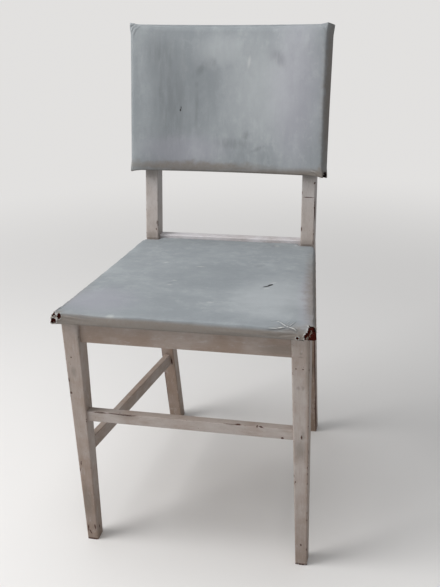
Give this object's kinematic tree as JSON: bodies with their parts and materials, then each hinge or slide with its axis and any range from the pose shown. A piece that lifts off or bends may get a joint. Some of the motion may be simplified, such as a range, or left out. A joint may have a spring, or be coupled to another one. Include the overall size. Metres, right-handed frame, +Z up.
{
  "type": "padded kitchen chair",
  "caption": "Painted wooden kitchen chair with a padded vinyl seat and curved padded backrest; paint chipped, vinyl torn at the corners, one stretcher loose.",
  "frame": {"origin": "on the floor under the middle of the chair's bounding box", "axes": "+X to the right seen from the front, +Y from the front to the back, +Z up"},
  "size_m": [0.416, 0.455, 0.835],
  "materials": {
    "painted_wood": "off-white gloss paint, chipped and grimy, dark red-brown wood showing",
    "bare_wood": "unpainted, oiled by age",
    "plywood": "unpainted plywood",
    "fibre": "matted dark red-brown fibre padding",
    "vinyl": "grey-blue coated cloth, smooth, stained and scuffed",
    "lining": "grey-blue coated card, dull",
    "blued_steel": "dark, a little rusted",
    "screw_steel": "dull, a little rusted"
  },
  "bodies": {
    "root": {"leg_front_left": "painted_wood", "leg_front_right": "painted_wood", "leg_back_left": "painted_wood", "leg_back_right": "painted_wood", "rail_front": "painted_wood", "rail_back": "painted_wood", "rail_left": "painted_wood", "rail_right": "painted_wood", "stretcher_front": "painted_wood", "stretcher_left": "painted_wood", "stretcher_right": "painted_wood", "corner_block_front_left": "bare_wood", "corner_block_front_right": "bare_wood", "corner_block_back_left": "bare_wood", "corner_block_back_right": "bare_wood", "seat_board": "plywood", "seat_padding": "fibre", "seat_cover": "vinyl", "seat_tacks": "blued_steel", "back_board": "plywood", "back_padding": "fibre", "back_cover": "vinyl", "back_lining": "lining", "back_tacks": "blued_steel", "rail_pegs": "bare_wood", "stretcher_pegs": "bare_wood", "block_screws": "screw_steel", "seat_screws": "screw_steel", "back_screws": "screw_steel"}
  },
  "joints": []
}
